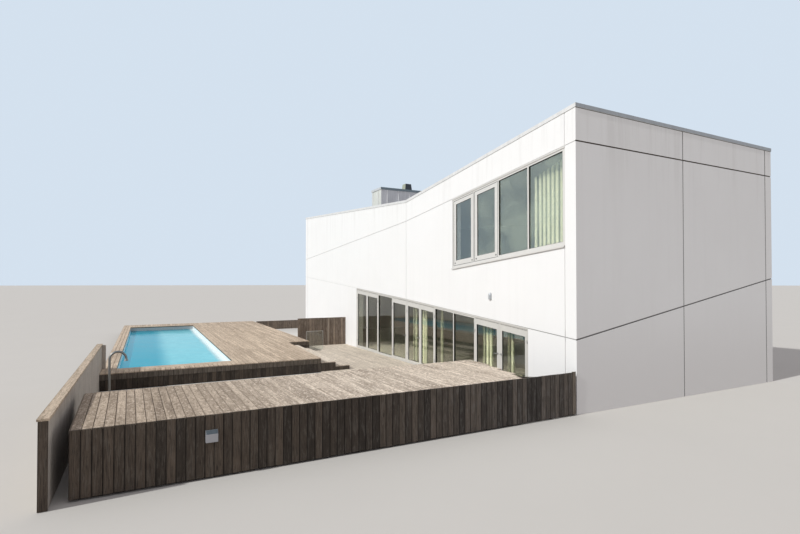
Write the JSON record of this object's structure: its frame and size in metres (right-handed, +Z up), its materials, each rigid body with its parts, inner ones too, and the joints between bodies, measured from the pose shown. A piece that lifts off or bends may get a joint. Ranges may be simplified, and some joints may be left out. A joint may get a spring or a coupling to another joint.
{
  "type": "beach house with timber decks and a pool",
  "caption": "Two-storey white beach house with a folded roof, slanted window bands, glazed terrace doors that swing, timber decks, fence and pool.",
  "frame": {"origin": "middle of the whole footprint at ground level", "axes": "+X away from the window side towards the back wall, +Y along the window side away from the blank end, +Z up"},
  "size_m": [18.919, 26.49, 8.265],
  "materials": {
    "white_wall": "white coated concrete panels",
    "floor": "ground concrete",
    "roof_membrane": "matt roofing membrane",
    "coping_metal": "folded sheet, light grey",
    "frame_paint": "satin warm white",
    "glass": "dark grey-green insulating glass",
    "curtain": "pale green pleated cloth",
    "chimney_metal": "standing seam sheet",
    "cap_metal": "dark blue-grey sheet",
    "cowl_metal": "black",
    "lamp_metal": "satin",
    "deck_wood": "silver-grey weathered boards",
    "skirt_wood": "dark weathered boards",
    "bearer_wood": "dark pressure treated timber",
    "pool_liner": "pale turquoise tiles",
    "guard_glass": "clear toughened glass",
    "steel": "satin stainless"
  },
  "bodies": {
    "house": {"ground_floor": "floor", "upper_floor": "floor", "roof_near_slope": "roof_membrane", "roof_far_slope": "roof_membrane", "roof_coping": "coping_metal", "facade_top_near": "white_wall", "facade_top_far": "white_wall", "facade_middle_near": "white_wall", "facade_middle_far": "white_wall", "facade_low_near": "white_wall", "facade_low_far": "white_wall", "gable_wall_near": "white_wall", "gable_wall_far": "white_wall", "back_wall_near": "white_wall", "back_wall_middle": "white_wall", "back_wall_far": "white_wall", "end_wall": "white_wall", "upper_window_frame": "frame_paint", "upper_window_sashes": "frame_paint", "upper_window_glass": "glass", "lower_window_frame": "frame_paint", "lower_window_glass": "glass", "back_window_frames": "frame_paint", "back_window_glass": "glass", "curtains": "curtain", "chimney_box": "chimney_metal", "chimney_cap": "cap_metal", "flue_cowl": "cowl_metal", "wall_lamp": "lamp_metal", "platform_deck": "deck_wood", "platform_skirt": "skirt_wood", "platform_frame": "bearer_wood", "skirt_lamp": "lamp_metal", "pool_deck": "deck_wood", "pool_deck_frame": "skirt_wood", "pool_basin": "pool_liner", "terrace_deck": "deck_wood", "terrace_steps": "deck_wood", "side_fence": "skirt_wood", "screen_wall": "skirt_wood", "low_wall": "skirt_wood", "glass_guard": "guard_glass", "standpipe": "steel"},
    "door_1": {"door_1_leaf": "frame_paint", "door_1_glass": "glass"},
    "door_2": {"door_2_leaf": "frame_paint", "door_2_glass": "glass"},
    "door_3": {"door_3_leaf": "frame_paint", "door_3_glass": "glass"},
    "door_4": {"door_4_leaf": "frame_paint", "door_4_glass": "glass"},
    "door_5": {"door_5_leaf": "frame_paint", "door_5_glass": "glass"},
    "door_6": {"door_6_leaf": "frame_paint", "door_6_glass": "glass"},
    "door_7": {"door_7_leaf": "frame_paint", "door_7_glass": "glass"}
  },
  "joints": [
    {"name": "door_1_swing", "type": "hinge", "parent": "house", "child": "door_1", "pos_m": [0.8572, -11.3525, 0.33], "axis": [0, 0, 1], "range_deg": [0, 90]},
    {"name": "door_2_swing", "type": "hinge", "parent": "house", "child": "door_2", "pos_m": [0.8572, -9.0225, 0.33], "axis": [0, 0, -1], "range_deg": [0, 90]},
    {"name": "door_3_swing", "type": "hinge", "parent": "house", "child": "door_3", "pos_m": [0.8572, -6.6375, 0.33], "axis": [0, 0, 1], "range_deg": [0, 90]},
    {"name": "door_4_swing", "type": "hinge", "parent": "house", "child": "door_4", "pos_m": [0.8572, -4.6025, 0.33], "axis": [0, 0, -1], "range_deg": [0, 90]},
    {"name": "door_5_swing", "type": "hinge", "parent": "house", "child": "door_5", "pos_m": [0.8572, -3.3225, 0.33], "axis": [0, 0, -1], "range_deg": [0, 90]},
    {"name": "door_6_swing", "type": "hinge", "parent": "house", "child": "door_6", "pos_m": [0.8572, -1.9175, 0.33], "axis": [0, 0, 1], "range_deg": [0, 90]},
    {"name": "door_7_swing", "type": "hinge", "parent": "house", "child": "door_7", "pos_m": [0.8572, 0.4425, 0.33], "axis": [0, 0, -1], "range_deg": [0, 90]}
  ]
}
